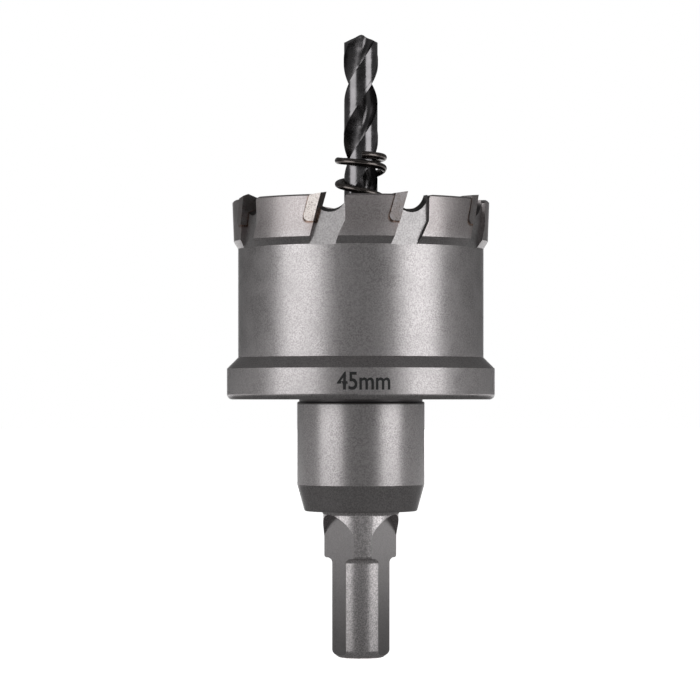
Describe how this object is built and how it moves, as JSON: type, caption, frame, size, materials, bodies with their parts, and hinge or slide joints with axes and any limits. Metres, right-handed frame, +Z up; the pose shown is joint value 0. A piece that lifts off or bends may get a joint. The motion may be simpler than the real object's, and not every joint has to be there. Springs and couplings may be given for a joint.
{
  "type": "hole saw",
  "caption": "Carbide-tipped hole saw with a stop flange, pilot drill, ejector spring and three-flat shank, standing on its shank.",
  "frame": {"origin": "middle of the flat end of the shank, which is also the bottom centre of the part's box", "axes": "+Z up the tool's axis from the shank's end to the drill's point, -Y towards the front that the picture shows"},
  "size_m": [0.0466, 0.0466, 0.1085],
  "materials": {
    "cup_steel": "fine-blasted satin tool steel",
    "arbor_steel": "fine-blasted satin tool steel",
    "carbide": "ground sintered carbide",
    "braze": "copper-coloured braze",
    "drill_black": "glossy black oxide on high-speed steel",
    "spring_black": "glossy black spring wire",
    "screw_black": "black oxide"
  },
  "bodies": {
    "root": {"saw_cup": "cup_steel", "arbor": "arbor_steel", "pilot_drill": "drill_black", "ejector_spring": "spring_black", "set_screw": "screw_black", "carbide_tip_1": "carbide", "carbide_tip_2": "carbide", "carbide_tip_3": "carbide", "carbide_tip_4": "carbide", "carbide_tip_5": "carbide", "carbide_tip_6": "carbide", "carbide_tip_7": "carbide", "carbide_tip_8": "carbide", "braze_layer_1": "braze", "braze_layer_2": "braze", "braze_layer_3": "braze", "braze_layer_4": "braze", "braze_layer_5": "braze", "braze_layer_6": "braze", "braze_layer_7": "braze", "braze_layer_8": "braze"}
  },
  "joints": []
}
